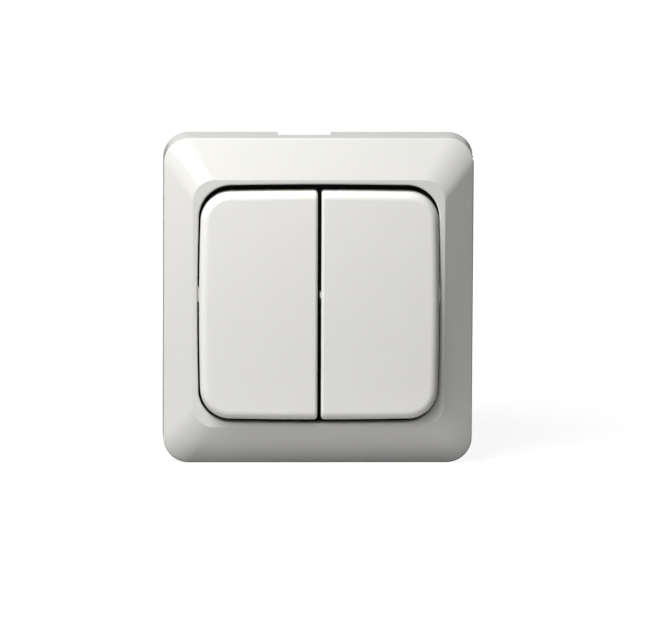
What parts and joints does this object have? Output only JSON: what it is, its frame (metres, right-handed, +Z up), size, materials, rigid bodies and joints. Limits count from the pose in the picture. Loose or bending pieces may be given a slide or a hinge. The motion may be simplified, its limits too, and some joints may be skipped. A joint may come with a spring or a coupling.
{
  "type": "light switch",
  "caption": "Flush wall switch with side-by-side rockers in a bevelled cover frame, on a steel ring with a box insert behind.",
  "frame": {"origin": "middle of the switch on the wall plane, between the two box screws", "axes": "+X right, +Y into the wall, +Z up; the rockers face -Y"},
  "size_m": [0.0802, 0.0375, 0.0856],
  "materials": {
    "frame_plastic": "glossy off-white moulding",
    "rocker_plastic": "satin off-white moulding",
    "housing_plastic": "matt light grey moulding",
    "cover_plastic": "matt black moulding",
    "carrier_plastic": "matt dark grey moulding",
    "plunger_plastic": "smooth natural moulding",
    "ring_steel": "zinc-plated sheet steel",
    "screw_steel": "zinc-plated steel",
    "spring_steel": "drawn spring wire",
    "copper_strip": "stamped copper alloy",
    "clamp_brass": "nickel-free brass",
    "contact_silver": "silver rivet"
  },
  "bodies": {
    "switch_body": {"cover_frame": "frame_plastic", "support_ring": "ring_steel", "insert_base": "housing_plastic", "insert_cover": "cover_plastic", "cover_screws": "screw_steel", "terminal_screws": "screw_steel", "feed_rail": "copper_strip", "contact_strip_left": "copper_strip", "fixed_contact_left": "contact_silver", "feed_clamp_left": "clamp_brass", "output_clamp_left": "clamp_brass", "contact_strip_right": "copper_strip", "fixed_contact_right": "contact_silver", "feed_clamp_right": "clamp_brass", "output_clamp_right": "clamp_brass"},
    "rocker_left_body": {"rocker_left": "rocker_plastic", "rocker_carrier_left": "carrier_plastic", "toggle_spring_left": "spring_steel"},
    "plunger_left_body": {"plunger_left": "plunger_plastic"},
    "lever_left_body": {"contact_lever_left": "copper_strip", "moving_contact_left": "contact_silver"},
    "rocker_right_body": {"rocker_right": "rocker_plastic", "rocker_carrier_right": "carrier_plastic", "toggle_spring_right": "spring_steel"},
    "plunger_right_body": {"plunger_right": "plunger_plastic"},
    "lever_right_body": {"contact_lever_right": "copper_strip", "moving_contact_right": "contact_silver"}
  },
  "joints": [
    {"name": "rocker_left_tilt", "type": "hinge", "parent": "switch_body", "child": "rocker_left_body", "pos_m": [-0.0105, -0.005, 0], "axis": [1, 0, 0], "range_deg": [0, 6]},
    {"name": "plunger_left_slide", "type": "slide", "parent": "rocker_left_body", "child": "plunger_left_body", "axis": [0, -0.9986, 0.0523], "range_m": [0, 0.0008], "stiffness_N_per_m": 300, "deforming": ["toggle_spring_left"]},
    {"name": "lever_left_tilt", "type": "hinge", "parent": "switch_body", "child": "lever_left_body", "pos_m": [-0.0105, 0.008, 0], "axis": [1, 0, 0], "range_deg": [-12, 0]},
    {"name": "rocker_right_tilt", "type": "hinge", "parent": "switch_body", "child": "rocker_right_body", "pos_m": [0.0105, -0.005, 0], "axis": [1, 0, 0], "range_deg": [0, 6]},
    {"name": "plunger_right_slide", "type": "slide", "parent": "rocker_right_body", "child": "plunger_right_body", "axis": [0, -0.9986, 0.0523], "range_m": [0, 0.0008], "stiffness_N_per_m": 300, "deforming": ["toggle_spring_right"]},
    {"name": "lever_right_tilt", "type": "hinge", "parent": "switch_body", "child": "lever_right_body", "pos_m": [0.0105, 0.008, 0], "axis": [1, 0, 0], "range_deg": [-12, 0]}
  ],
  "couplings": [
    {"joint": "lever_left_tilt", "follows": "rocker_left_tilt", "ratio": -2},
    {"joint": "lever_right_tilt", "follows": "rocker_right_tilt", "ratio": -2}
  ]
}
